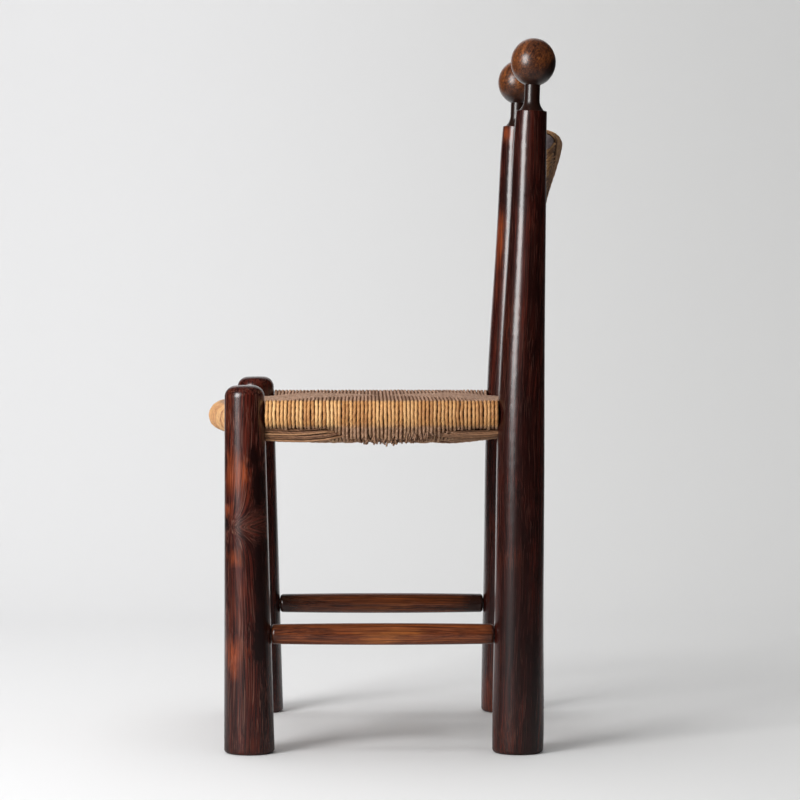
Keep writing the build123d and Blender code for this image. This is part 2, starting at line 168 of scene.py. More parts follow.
def polished_wood(
    name, pith, turn, tones, ring_width=0.0042, wear=0.5, cover=0.7, dullness=0.3, pore_counts=(1100, 16),
    flecked=0, hair=0.1, bare=(), stained=(), branch=None
):
    """Polished hardwood. pith is a point beside the piece, turn lays the grain, which starts along Z, along
    the piece, and tones are dark, middle, red and orange. wear is how much of the dark finish has rubbed off,
    cover how dark its clouds are, dullness the roughness of the polish, pore_counts how many pores a metre
    holds across and along the grain, flecked how much they show, and hair how many pale fibres show. bare
    lists marks where more of the finish has gone, and stained marks painted dark, as stains and, on
    the finials, as painted shade: a place, a radius, and how much taller it is than wide. branch is the y
    and z of a place where a branch grew, and how far round it the grain spreads."""
    dark, middle, red, orange = tones
    material, board = new_material(name)
    world = board.node("ShaderNodeTexCoord")["Object"]
    ragged = board.drift(board.moved(world, scale=(70, 70, 45)), 1.0, 3.0, 0.022)

    def near(spot, radius, tall=1.0):
        """A value that falls from 1 at the spot to 0 at the radius, with a ragged edge."""
        offset = board.vector("SUBTRACT", board.vector("ADD", world, ragged), spot)
        offset = board.vector("MULTIPLY", offset, (1, 1, 1 / tall))
        return (1 - board.vector("LENGTH", offset) / radius).ramp(0.0, 1.0)

    def grain(where, across, along, detail, roughness=0.5, distortion=0.0):
        """Noise drawn out along the grain, with so many changes in a metre across and along it."""
        drawn_out = board.moved(where, scale=(across, across, along))
        return board.noise(drawn_out, 1.0, detail, roughness, distortion)

    place, showing = world, hair
    if branch:
        # Level with the branch, the grain's lines are pinched together to this share of their usual spacing.
        branch_y, branch_z, reach = branch
        pinch = 0.16
        x, y, z = board.node("ShaderNodeSeparateXYZ", None, world)
        high = (z - branch_z) * (z - branch_z)
        spread = ((high + (reach * pinch) ** 2) / (high + reach**2)) ** 0.5
        place = board.node("ShaderNodeCombineXYZ", None, x, (y - branch_y) / spread + branch_y, z)[0]
        showing = hair + (1 - spread).ramp(0.15, 0.75) * 0.5
    place = board.moved(board.moved(place, [-p for p in pith]), rotation=turn)

    # The log's year rings, drawn out along the grain and bent by slow swells.
    bent = board.vector("ADD", place, board.drift(board.moved(place, scale=(14, 14, 3.2)), 1.0, 2.0, 0.030))
    from_pith = board.vector("LENGTH", board.vector("MULTIPLY", bent, (1, 1, 0)))
    rings = from_pith / ring_width + grain(place, 90, 3, 3.0) * 2.2
    late = (board.math("PINGPONG", rings, 0.5) * 2).ramp(0.30, 1.0)

    # Pores: short dark scratches along the grain. Fibres and hairs: fine lines. Streaks: bands of heartwood.
    fine = grain(place, *pore_counts, 2.0, 0.6)
    pores = fine.ramp(0.56 - flecked * 0.03, 0.68)
    fibre = grain(bent, 620, 5, 4.0, 0.7)
    hairs = grain(bent, 900, 9, 2.0).ramp(0.56, 0.66)
    streak = grain(bent, 70, 2.2, 4.0, 0.65, 0.6).ramp(0.42, 0.66)
    cloud = grain(place, 24, 10, 3.0, 0.55)

    # Where the dark finish has rubbed off, and where the finish and stains hide the wood. On the finials some
    # of these dark marks are painted shade.
    rubbed = cloud.ramp(0.50, 0.72) * wear * 0.8
    for mark in bare:
        rubbed = rubbed + near(*mark) * 1.7 * cloud.ramp(0.15, 0.45)
    dark_finish_and_shade = cloud.ramp(0.50, 0.28) * cover
    for mark in stained:
        dark_finish_and_shade = dark_finish_and_shade + near(*mark) * 1.8

    # The colours are laid over one another as a polisher would meet them, from the wood up to the dirt, with
    # the finials' painted shade among the dark marks.
    pale = [0.35 * c + 0.65 * grey for c, grey in zip(orange, (0.34, 0.20, 0.15))]
    colour = board.mix(fibre.ramp(0.30, 0.70), dark, middle)
    colour = board.mix(streak * (0.3 + fibre.ramp(0.35, 0.62) * 0.7) * 0.8, colour, red)
    colour = board.mix(rubbed * (0.22 + fibre.ramp(0.38, 0.66) * 0.78), colour, orange)
    colour = board.mix(late * 0.42, colour, dark)
    colour = board.mix(hairs * showing, colour, pale)
    colour = board.mix(fine.ramp(0.46, 0.34) * (flecked * 0.22), colour, orange)
    colour = board.mix(dark_finish_and_shade, colour, dark)
    colour = board.mix(pores * (0.6 + flecked * 0.3), colour, [c * 0.35 for c in dark])

    smudge = board.noise(world, 45.0, 3.0).ramp(0.45, 0.75)
    height = (1 - pores) * 0.6 + fibre * 0.4
    board.finish(
        Base_Color=colour,
        Roughness=dullness + pores * 0.05 + smudge * 0.06,
        Normal=board.node("ShaderNodeBump", None, Strength=0.012, Distance=0.0005, Height=height)[0],
        Coat_Weight=0.9 if dullness < 0.5 else 0.3,
        Coat_Roughness=dullness * 0.8,
        Coat_IOR=1.65,
        Specular_IOR_Level=0.06,
    )
    return material


ROSEWOOD = [(0.0105, 0.0017, 0.0013), (0.048, 0.0068, 0.0040), (0.110, 0.0150, 0.0074), (0.270, 0.050, 0.012)]
DEEP_ROSEWOOD = [[c * 0.72 for c in tone] for tone in ROSEWOOD]
# Turns of the grain. On upright pieces it runs a little aslant.
UPRIGHT, ALONG_Y, ALONG_X = (0.03, 0.02, 0), (math.radians(90), 0, 0), (0, math.radians(-90), 0)

# The front left leg is the most worn: bare above and below a branch's place, and stained dark to its rear.
LEG_BARE = [
    ((0.222, -0.198, 0.368), 0.024, 1.7),
    ((0.227, -0.183, 0.369), 0.009, 2.2),
    ((0.214, -0.205, 0.317), 0.015, 1.0),
    ((0.224, -0.196, 0.256), 0.020, 0.8),
    ((0.222, -0.196, 0.126), 0.024, 1.5),
]
LEG_STAINED = [
    ((0.224, -0.171, 0.388), 0.013, 2.0),
    ((0.222, -0.162, 0.345), 0.019, 2.2),
    ((0.214, -0.207, 0.300), 0.014, 0.8),
    ((0.222, -0.158, 0.220), 0.018, 6.0),
    ((0.222, -0.168, 0.150), 0.016, 3.0),
]
LEG_MARKS = dict(bare=LEG_BARE, stained=LEG_STAINED, branch=(-0.2015, 0.297, 0.026), hair=0.3)
POST_MARKS = dict(bare=[((-0.185, 0.170, 0.824), 0.020, 0.9), ((-0.185, 0.161, 0.680), 0.022, 2.8)])

for piece, pith, tones, marks in (
    ("front_leg_left", (0.232, -0.140, 0), ROSEWOOD, LEG_MARKS),
    ("front_leg_right", (-0.170, -0.150, 0), ROSEWOOD, {}),
    ("rear_post_left", (0.170, 0.150, 0), DEEP_ROSEWOOD, dict(wear=0.3)),
    ("rear_post_right", (-0.240, 0.160, 0), ROSEWOOD, POST_MARKS),
):
    dress(piece, polished_wood("rosewood_" + piece, pith, UPRIGHT, tones, **marks))

# ---------------------------------------------------------------------------------------------------------
# Finials: balls turned from a lighter, flecked block of the same wood, each in one piece with its waisted
# neck. The necks are dark with old polish, and the balls' undersides and rear sides are painted dark as
# painted shade.
# ---------------------------------------------------------------------------------------------------------

BALL_WOOD = [(0.018, 0.0046, 0.0020), (0.150, 0.039, 0.0100), (0.26, 0.075, 0.016), (0.52, 0.175, 0.036)]
BALL_LOOK = dict(ring_width=0.003, wear=1.2, cover=0.4, dullness=0.38, pore_counts=(420, 330), flecked=1)
SLANTING = (0.5, 0.35, 0)
for piece, pith, side in (("finial_left", (0.235, 0.170, 0), 1), ("finial_right", (-0.170, 0.165, 0), -1)):
    # Dark marks: one over the neck and the ball's underside, old polish on the neck and painted shade below
    # the ball, and one on the ball's rear side, painted shade.
    marks = [((side * 0.2, 0.194, 0.853), 0.060), ((side * 0.205, 0.217, 0.885), 0.030)]
    dress(piece, polished_wood("ball_wood_" + piece, pith, SLANTING, BALL_WOOD, stained=marks, **BALL_LOOK))

# ---------------------------------------------------------------------------------------------------------
# Stretchers: round rails of orange-brown wood, dark where hands and polish have built up at their ends. The
# one on the right is the darkest.
# ---------------------------------------------------------------------------------------------------------

STRETCHER_WOOD = [(0.030, 0.0070, 0.003), (0.200, 0.046, 0.0110), (0.30, 0.074, 0.0145), (0.44, 0.140, 0.027)]
for piece, pith, turn, brightness, stain_r in (
    ("side_stretcher_left", (0.210, 0, 0.135), ALONG_Y, 1.08, 0.055),
    ("side_stretcher_right", (-0.185, 0, 0.130), ALONG_Y, 0.75, 0.085),
    ("front_stretcher", (0, -0.16, 0.18), ALONG_X, 1.08, 0.055),
    ("rear_stretcher", (0, 0.19, 0.18), ALONG_X, 1.08, 0.055),
):
    low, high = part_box(piece)
    middle, half = (low + high) / 2, (high - low) / 2
    to_end = Vector([size if size == max(half) else 0 for size in half])
    marks = [(tuple(end), stain_r) for end in (middle - to_end, middle + to_end)]
    tones = [[c * brightness for c in tone] for tone in STRETCHER_WOOD]
    look = dict(wear=1.1, cover=0.15, stained=marks)
    dress(piece, polished_wood("stretcher_wood_" + piece, pith, turn, tones, **look))

# ---------------------------------------------------------------------------------------------------------
# Rails, rods and pegs: plain dark round wood, which the rush is woven on and mostly hides. The back's two
# rails stand out of the weave at both ends. Their colour is a light, dull grey: worn wood, with a painted
# reflection of the pale room in it.
# ---------------------------------------------------------------------------------------------------------

# Light grey tones for the back's rails: wear, and a painted reflection of the pale room.
WORN_WOOD_AND_SHEEN = [(0.120, 0.092, 0.094), (0.320, 0.255, 0.262), (0.375, 0.300, 0.305), (0.44, 0.34, 0.33)]
for piece, pith, turn in (
    ("seat_rail_front", (0, -0.21, 0.42), ALONG_X),
    ("seat_rail_rear", (0, 0.16, 0.42), ALONG_X),
    ("seat_rail_left", (0.19, 0, 0.42), ALONG_Y),
    ("seat_rail_right", (-0.19, 0, 0.42), ALONG_Y),
    ("back_rail_top", (0, 0.20, 0.785), ALONG_X),
    ("back_rail_bottom", (0, 0.18, 0.62), ALONG_X),
    ("back_side_rod_left", (0.11, 0.19, 0), UPRIGHT),
    ("back_side_rod_right", (-0.13, 0.19, 0), UPRIGHT),
    ("top_rail_peg_left", (0.19, 0.18, 0.79), ALONG_X),
    ("top_rail_peg_right", (-0.19, 0.18, 0.79), ALONG_X),
):
    tones, dullness = (WORN_WOOD_AND_SHEEN, 0.55) if piece.startswith("back_rail") else (ROSEWOOD, 0.3)
    dress(piece, polished_wood("rail_wood_" + piece, pith, turn, tones, wear=0.3, dullness=dullness))

# ---------------------------------------------------------------------------------------------------------
# Seat: one long twisted rush cord, woven round the four rails. It comes up through the middle, crosses the
# top square to a rail, turns round the rail and goes back below. The turns meet on lines at 45 degrees.
# ---------------------------------------------------------------------------------------------------------

STRAND_R = 0.00243
PITCH = 0.0050


def rush_material(name, tones, weathered_and_sheen, variety=0.25):
    """Dry twisted rush: fibres that run along each cord, and every turn its own tone, from light to dirty
    dark.
    Dust and age grey it to the two greyed colours where the dust_and_sheen attribute says so, and on the
    seat's top that grey is also a painted sheen. The grooves between the cords, where a cord faces its
    neighbours, are painted dark as painted shade. variety is how much darker some turns are."""
    light, gold, brown, dirt_and_shade = tones
    material, board = new_material(name)

    def carried(label):
        """A value that each point of a cord carries."""
        return board.node("ShaderNodeAttribute", {"attribute_name": label})

    along_fibre, tone = carried("fibre")["Vector"], carried("tone")["Fac"]
    dust_and_sheen, painted_groove_shade = carried("dust_and_sheen")["Fac"], carried("painted_groove_shade")["Fac"]
    place = board.node("ShaderNodeTexCoord")["Object"]

    leaf = board.noise(board.moved(along_fibre, scale=(1.1, 1.1, 60)), 1.0, 2.0)
    fine = board.noise(board.moved(along_fibre, scale=(5.5, 5.5, 150)), 1.0, 3.0, 0.6)
    blotch = board.noise(place, 38.0, 3.0, 0.6)
    patch = board.noise(place, 9.0, 2.0)
    # The seat has browned towards its rear.
    behind = board.node("ShaderNodeSeparateXYZ", None, place)["Y"].ramp(-0.10, 0.13)

    colour = board.mix(leaf.ramp(0.35, 0.68), gold, brown)
    colour = board.mix(tone.ramp(0.15, 0.95) * (0.75 - behind * 0.45), colour, light)
    colour = board.mix(fine.ramp(0.50, 0.80) * 0.55, colour, dirt_and_shade)
    colour = board.mix(blotch.ramp(0.52, 0.75) * 0.45, colour, brown)
    colour = board.mix(patch.ramp(0.55, 0.75) * 0.25 + behind * 0.24, colour, dirt_and_shade)
    colour = board.mix(tone.ramp(0.45, 0.0) * variety, colour, dirt_and_shade)
    # Greyed where dust_and_sheen says so: dust and age, and on the seat's top a painted sheen too.
    colour = board.mix(dust_and_sheen, colour, board.mix(leaf.ramp(0.3, 0.7) * 0.6 + tone * 0.4, *weathered_and_sheen))
    # Painted shade: each cord's sides, where it faces its neighbours, are darkened towards the dark tone.
    colour = board.mix(painted_groove_shade.ramp(0.60 - dust_and_sheen * 0.35, 0.95 - dust_and_sheen * 0.1) * 0.85, colour, dirt_and_shade)
    height = leaf * 0.5 + fine * 0.5
    bump = board.node("ShaderNodeBump", None, Strength=0.55, Distance=0.0007, Height=height)[0]
    board.finish(Base_Color=colour, Roughness=0.40 + fine * 0.25, Normal=bump, Specular_IOR_Level=0.5)
    return material


GOLDEN = [(0.97, 0.61, 0.27), (0.78, 0.39, 0.130), (0.53, 0.220, 0.066), (0.13, 0.047, 0.015)]
WORN = [(0.52, 0.270, 0.125), (0.38, 0.170, 0.068), (0.19, 0.078, 0.032), (0.045, 0.018, 0.009)]
WEATHERED_AND_SHEEN = [(0.66, 0.415, 0.29), (0.15, 0.084, 0.058)]
seat_rush_finish = rush_material("seat_rush", GOLDEN, WEATHERED_AND_SHEEN)
worn_rush_finish = rush_material("worn_rush", WORN, WEATHERED_AND_SHEEN)


def rush_cord_tree():
    """The modifier that turns lines into twisted cords: two plies wound round each other, a little uneven."""
    tree = bpy.data.node_groups.new("rush_cord", "GeometryNodeTree")
    tree.is_modifier = True
    tree.interface.new_socket("Geometry", in_out="INPUT", socket_type="NodeSocketGeometry")
    for name, kind, value in (
        ("Cord radius", "NodeSocketFloat", STRAND_R),
        ("Step", "NodeSocketFloat", 0.0022),
        ("Twist length", "NodeSocketFloat", 0.018),
        ("Wander", "NodeSocketFloat", 0.0007),
        ("Seed", "NodeSocketFloat", 1.0),
        ("Across", "NodeSocketVector", (0, 1, 0)),
        ("Finish", "NodeSocketMaterial", None),
    ):
        socket = tree.interface.new_socket(name, in_out="INPUT", socket_type=kind)
        if value is not None:
            socket.default_value = value
    tree.interface.new_socket("Geometry", in_out="OUTPUT", socket_type="NodeSocketGeometry")

    board = Board(tree)
    given = board.node("NodeGroupInput")

    def read(name):
        """A value that each point of a line or of a cord carries."""
        return board.node("GeometryNodeInputNamedAttribute", {"data_type": "FLOAT"}, name)[0]

    def store(geometry, name, value, kind="FLOAT"):
        settings = {"data_type": kind, "domain": "POINT"}
        return board.node("GeometryNodeStoreNamedAttribute", settings, geometry, Name=name, Value=value)[0]

    curve = board.node("GeometryNodeMeshToCurve", None, given["Geometry"])[0]
    curve = board.node("GeometryNodeResampleCurve", {"mode": "LENGTH"}, curve, Length=given["Step"])[0]
    along = board.node("GeometryNodeSplineParameter")["Length"]
    place = board.node("GeometryNodeInputPosition")[0]

    # Each cord wanders a little sideways, thickens and thins, and starts its twist somewhere else.
    drift = board.drift(place, 55.0, 1.0, given["Wander"] * 2, given["Seed"])
    curve = board.node("GeometryNodeSetPosition", None, curve, Offset=drift)[0]
    girth = read("girth") * (0.80 + board.noise(place, 90.0, 1.0, seed=given["Seed"] + 7) * 0.40)
    curve = board.node("GeometryNodeSetCurveRadius", None, curve, Radius=girth)[0]
    start = read("tone") * 40
    tilt = along / given["Twist length"] * math.tau + start
    curve = board.node("GeometryNodeSetCurveTilt", None, curve, Tilt=tilt)[0]
    curve = store(curve, "along", along + start)

    # The section of a cord: two round plies side by side, so it is a little wider than high.
    corners, mean_size, flatness = 8, 1.015, 0.085
    ring = board.node("GeometryNodeCurvePrimitiveCircle", {"mode": "RADIUS"}, corners)[0]
    turn = board.node("GeometryNodeSplineParameter")["Factor"] * math.tau
    size = (board.math("COSINE", turn * 2) * flatness + mean_size) * given["Cord radius"]
    round_x, round_y = board.math("COSINE", turn), board.math("SINE", turn)
    corner = board.node("ShaderNodeCombineXYZ", None, round_x * size, round_y * size, 0.0)[0]
    ring = board.node("GeometryNodeSetPosition", None, ring, Position=corner)[0]
    ring = store(store(ring, "round_x", round_x), "round_y", round_y)

    # The finish needs the way along each fibre, and where a cord faces its neighbours, which it darkens as
    # painted shade.
    cords = board.node("GeometryNodeCurveToMesh", None, curve, ring, Fill_Caps=True)[0]
    fibre = board.node("ShaderNodeCombineXYZ", None, read("round_x"), read("round_y"), read("along"))[0]
    cords = store(cords, "fibre", fibre, "FLOAT_VECTOR")
    facing = board.vector("DOT_PRODUCT", board.node("GeometryNodeInputNormal")[0], given["Across"])
    cords = store(cords, "painted_groove_shade", board.math("ABSOLUTE", facing))
    cords = board.node("GeometryNodeSetShadeSmooth", None, cords)[0]
    cords = board.node("GeometryNodeRealizeInstances", None, cords)[0]
    cords = board.node("GeometryNodeSetMaterial", None, cords, Material=given["Finish"])[0]
    board.node("NodeGroupOutput", None, cords)
    return tree


cord_tree = rush_cord_tree()


def lay_cords(name, paths, finish, node, seed, **sizes):
    """Makes one piece of cords, as a plain mesh that stands for a CAD node. Each cord's centre line is a list
    of points. Their fourth value is how much the cord is greyed there, by weathering and, on the seat's top,
    by a painted sheen, and the fifth, if any, its girth."""
    chance = random.Random(seed)
    points, edges, tones, dust_and_sheen_values, girths = [], [], [], [], []
    for path in paths:
        first, tone = len(points), chance.random()
        points += [spot[:3] for spot in path]
        dust_and_sheen_values += [spot[3] for spot in path]
        girths += [spot[4] if len(spot) > 4 else 1.0 for spot in path]
        edges += [(first + i, first + i + 1) for i in range(len(path) - 1)]
        tones += [tone] * len(path)
    lines = bpy.data.meshes.new(name + "_lines")
    lines.from_pydata(points, edges, [])
    for label, values in (("tone", tones), ("dust_and_sheen", dust_and_sheen_values), ("girth", girths)):
        lines.attributes.new(label, "FLOAT", "POINT").data.foreach_set("value", values)

    guide = bpy.data.objects.new(name + "_guide", lines)
    bpy.context.scene.collection.objects.link(guide)
    modifier = guide.modifiers.new("cords", "NODES")
    modifier.node_group = cord_tree
    values = {"Finish": finish, "Seed": float(seed)}
    values.update({label.replace("_", " "): size for label, size in sizes.items()})
    for item in cord_tree.interface.items_tree:
        if item.in_out == "INPUT" and item.name in values:
            modifier[item.identifier] = values[item.name]
    cords = bpy.data.meshes.new_from_object(guide.evaluated_get(bpy.context.evaluated_depsgraph_get()))
    bpy.data.objects.remove(guide)
    for label in ("along", "round_x", "round_y", "girth"):
        if label in cords.attributes:
            cords.attributes.remove(cords.attributes[label])

    piece = bpy.data.objects.new(name, cords)
    bpy.context.scene.collection.objects.link(piece)
    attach(piece, "root")
    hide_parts(node)


def smooth(start, end, value):
    """The same change as a wire's ramp, for a plain number."""
    share = min(max((value - start) / (end - start), 0.0), 1.0)
    return share * share * (3 - 2 * share)


def middle_of(piece):
    """The middle of a piece of the frame, to a tenth of a millimetre."""
    low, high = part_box(piece)
    return [round((a + b) / 2, 4) for a, b in zip(low, high)]


def half_height(rail):
    """A rail's radius, to a hundredth of a millimetre."""
    low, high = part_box(rail)
    return round((high.z - low.z) / 2, 5)


# The rails' axes, as the frame has them. The front and rear rails lie lower, and the front one is bowed.
HALF_WIDTH, _, SIDE_Z = middle_of("seat_rail_left")
_, POST_Y, CROSS_Z = middle_of("seat_rail_rear")
RAIL_R = half_height("seat_rail_left")
WRAP_R = RAIL_R + STRAND_R
FRONT_BOW = 0.037
LEG_Y = round(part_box("seat_rail_front")[0].y + RAIL_R + FRONT_BOW, 4)
MIDDLE_Y = (LEG_Y + POST_Y) / 2


def bow_at(bow, x):
    """How far a bowed rail stands out at x from the line between its ends."""
    bend_r = (HALF_WIDTH**2 + bow**2) / (2 * bow)
    return math.sqrt(bend_r**2 - x * x) - (bend_r - bow)


def top_z(x, y):
    """Height of the cords' centre lines on top. It falls to the lower front and rear rails."""
    fall = 1 - smooth(0, 0.090, min(y - LEG_Y, POST_Y - y))
    return SIDE_Z + WRAP_R - (SIDE_Z - CROSS_Z) * fall


def under_z(x, y):
    """Height of the cords' centre lines below. The underside bellies down between the rails."""
    side_belly, cross_belly, roundness = 0.026, 0.018, 2.2
    side = SIDE_Z - WRAP_R - side_belly * (1 - (abs(x) / HALF_WIDTH) ** roundness)
    to_rail = abs(y - MIDDLE_Y) / (POST_Y - MIDDLE_Y)
    cross = CROSS_Z - WRAP_R - cross_belly * max(0.0, 1 - to_rail**roundness)
    return max(side, cross)


def turn_path(rail, inward, reach, lift, chance, sag=0.0, kink=(0.0, 0.5), hang=0.0, dull=0.0):
    """One turn of cord round a rail. rail is the axis point it turns round, inward the way to the middle,
    reach how far in it goes, and lift raises its inner end over the cords that it crosses. kink is how far it
    is pushed aside, and where, hang is how far it has slipped down below the rail, and dull is the dust all
    round it."""
    rail, inward = Vector(rail), Vector(inward)
    sideways = Vector((-inward.y, inward.x, 0))
    # The top is greyed most: dust, and on the upward-facing cords a painted sheen.
    top_dust_and_sheen, under_dust = 0.95, 0.6
    straight_steps, turn_steps = max(2, int(reach / 0.012)), 18
    # The straight runs end short of the rail's axis. Each inner end dips, and then turns away out of sight.
    rail_edge, tuck, tail_in, tail_down = 0.005, 0.0018, 0.003, 0.008
    points = []

    def add(u, z, dust_and_sheen, shift=0.0):
        spot = rail + inward * u + sideways * shift
        points.append((spot.x, spot.y, z, dust_and_sheen))

    def height(surface, u):
        spot = rail + inward * u
        return surface(spot.x, spot.y)

    add(reach + tail_in, height(top_z, reach) - tail_down, 1.0)
    add(reach, height(top_z, reach) - tuck + lift, 1.0)
    for i in range(1, straight_steps):
        u = reach * (1 - i / straight_steps)
        if u > rail_edge:
            z = height(top_z, u) + lift * smooth(0.05, 0.0, reach - u)
            add(u, z + chance.uniform(-0.0003, 0.0003), top_dust_and_sheen, chance.uniform(-0.0003, 0.0003))

    # Round the rail the cord is clean, apart from the grey at the top, dust with a painted sheen, and the
    # dust on what lies below the rail.
    bulge = chance.uniform(0.0, 0.0006)
    (shove, kink_at), kink_width, slant = kink, 0.13, chance.uniform(-0.0004, 0.0004)
    for i in range(turn_steps + 1):
        share = i / turn_steps
        angle = math.pi / 2 + math.pi * share
        around = WRAP_R + bulge * math.sin(math.pi * share)
        aside = shove * math.exp(-(((share - kink_at) / kink_width) ** 2)) + slant * (share - 0.5) * 2
        slip = hang * smooth(0.62, 1.0, share)
        z = rail.z + around * math.sin(angle) - slip
        low_dust = 0.75 * smooth(rail.z - 0.0115, rail.z - 0.0165, z)
        dust_and_sheen = max(0.9 * smooth(0.13, 0.03, share), low_dust, dull)
        add(around * math.cos(angle) * (1 - 0.35 * slip / 0.02), z, dust_and_sheen, aside)

    for i in range(1, straight_steps):
        u = reach * i / straight_steps
        if u > rail_edge:
            sagging, hanging = sag * math.sin(math.pi * min(1, u / reach)), hang * smooth(0.035, 0.0, u)
            z = height(under_z, u) - sagging - hanging
            add(u, z + chance.uniform(-0.0008, 0.0008), under_dust, chance.uniform(-0.0006, 0.0006))
    add(reach, height(under_z, reach) - lift * 0.5, under_dust)
    add(reach + tail_in, height(under_z, reach) + tail_down, under_dust)
    return points


def slackness(y):
    """How far the left rail's cords have slipped down at y."""
    most = 0.0135
    return most * smooth(-0.085, -0.045, y) * smooth(0.120, 0.020, y)


def seat_sector(side_name):
    """The turns on one rail, as a list of centre lines."""
    chance = random.Random(side_name)
    by_leg, by_post = 0.0288, 0.0324  # from a leg's or a post's axis to the first cord beside it
    uneven, overlap = 0.00022, 0.001
    paths = []
    if side_name in ("left", "right"):
        sign = 1 if side_name == "left" else -1
        start, end = LEG_Y + by_leg, POST_Y - by_post
        count = round((end - start) / PITCH)
        # A kink goes on from cord to cord and dies away, as neighbours lie against each other.
        shove, kink_at = 0.0, 0.5
        for i in range(count + 1):
            y = start + (end - start) * i / count + chance.uniform(-uneven, uneven)
            reach = min(y - LEG_Y, POST_Y - y) + overlap
            sag = abs(chance.gauss(0, 0.0026))
            shove = 0.72 * shove + chance.uniform(-0.0007, 0.0007)
            kink_at = 0.5 + 0.7 * (kink_at - 0.5) + chance.uniform(-0.06, 0.06)
            hang = max(0.0, slackness(y) + chance.gauss(0, 0.0012)) if sign > 0 else 0.0
            rail, inward, kink = (sign * HALF_WIDTH, y, SIDE_Z), (-sign, 0, 0), (shove, kink_at)
            paths.append(turn_path(rail, inward, reach, 0.0012, chance, sag=sag, kink=kink, hang=hang))
        return paths
    start = (by_leg if side_name == "front" else by_post) - HALF_WIDTH
    count = round(-2 * start / PITCH)
    gap = 0.002  # between the front and the rear cords' inner ends and the middle
    for i in range(count + 1):
        x = start - 2 * start * i / count + chance.uniform(-uneven, uneven)
        inboard = HALF_WIDTH - abs(x)
        sag = abs(chance.gauss(0, 0.002))
        if side_name == "front":
            rail, inward = (x, LEG_Y - bow_at(FRONT_BOW, x), CROSS_Z), (0, 1, 0)
            reach = min(LEG_Y + inboard, MIDDLE_Y - gap) - rail[1]
        else:
            rail, inward = (x, POST_Y, CROSS_Z), (0, -1, 0)
            reach = POST_Y - max(POST_Y - inboard, MIDDLE_Y + gap)
        kink = (chance.uniform(-0.0004, 0.0004), 0.5)
        paths.append(turn_path(rail, inward, reach, -0.0008, chance, sag=sag, kink=kink, dull=0.28))
    return paths


for seed, side_name, across in (
    (11, "left", (0, 1, 0)), (12, "right", (0, 1, 0)), (13, "front", (1, 0, 0)), (14, "rear", (1, 0, 0))
):
    turns = seat_sector(side_name)
    lay_cords("seat_rush_" + side_name, turns, seat_rush_finish, "seat_rush", seed, Across=across)


def hanging_ends():
    """Worn cords that have broken below the seat's left side and hang in a ragged fringe, with tufts."""
    chance = random.Random("ends")
    count, steps, hidden_length, dust_and_sheen = 260, 5, 0.006, 0.35
    paths = []
    for _ in range(count):
        tuft_y = chance.choice([None, -0.004, 0.040, 0.043])
        y = chance.uniform(-0.070, 0.085) if tuft_y is None else chance.gauss(tuft_y, 0.011)
        x = HALF_WIDTH + chance.uniform(-0.030, 0.007)
        drop = chance.uniform(0.002, 0.007) + (0.0 if tuft_y is None else chance.uniform(0.0, 0.005))
        slip, out = -drop * chance.uniform(-0.2, 0.8), chance.uniform(-0.002, 0.003)
        slipped = slackness(y) * (1 if x < HALF_WIDTH - 0.004 else 0.75)
        top = SIDE_Z - WRAP_R - slipped + hidden_length
        points = []
        for i in range(steps + 1):
            share = i / steps
            curl = 0.0012 * math.sin(share * 5 + y * 900)
            z = top - (drop + hidden_length) * share
            points.append((x + out * share + curl, y + slip * share**1.4, z, dust_and_sheen))
        paths.append(points)
    return paths


def slack_cords():
    """Long cords that run front to back below the seat's left edge, slack between the rails: three layers of
    seven by the leg and by the post. Each bundle has the y of its two ends, and its highest and lowest z."""
    chance = random.Random("slack")
    bundles = ((-0.159, -0.046, 0.4245, 0.4070), (0.150, 0.055, 0.4215, 0.4115))
    layers, rows, steps = 3, 7, 9
    paths = []
    for outer_y, inner_y, high, low in bundles:
        for layer in range(layers):
            for row in range(rows):
                down = row / (rows - 1)
                rounding = 0.0015 * abs(row - rows // 2)
                x = HALF_WIDTH + 0.0035 - 0.0042 * layer - rounding + chance.uniform(-0.0008, 0.0008)
                start_z = high + (low + 0.0025 - high) * down + chance.uniform(-0.0010, 0.0010)
                end_z = high + 0.001 + (low + 0.004 - high) * down**1.3 * 0.75
                end_z += chance.uniform(-0.0015, 0.0015)
                end_y = inner_y + (outer_y - inner_y) * chance.uniform(0.0, 0.35) * (1 - down)
                points = []
                for step in range(steps + 1):
                    share = step / steps
                    dip = (0.0025 + 0.002 * down) * math.sin(math.pi * share)
                    y = outer_y + (end_y - outer_y) * share
                    z = start_z + (end_z - start_z) * share - dip
                    points.append((x - 0.010 * smooth(0.75, 1.0, share), y, z, 0.05 + 0.2 * share))
                paths.append(points)
    return paths


sizes = dict(Cord_radius=0.0012, Wander=0.0016)
lay_cords("seat_rush_ends", hanging_ends(), worn_rush_finish, "seat_rush", 21, **sizes)
sizes = dict(Cord_radius=0.0016, Wander=0.0012, Across=(0, 0, 1))
lay_cords("seat_rush_slack", slack_cords(), worn_rush_finish, "seat_rush", 22, **sizes)

stuffing, board = new_material("stuffing")
straw = board.noise(board.moved(board.node("ShaderNodeTexCoord")["Object"], scale=(60, 300, 60)), 1.0, 3.0)
board.finish(Base_Color=board.mix(straw, (0.05, 0.028, 0.014), (0.13, 0.075, 0.035)), Roughness=0.9)
dress("seat_stuffing", stuffing)

# ---------------------------------------------------------------------------------------------------------
# Back: the same rush cord, woven round a bowed top rail, a bottom rail and two upright rods. It closes to two
# layers half way up, and its turns hang a little loose behind the top rail.
# ---------------------------------------------------------------------------------------------------------

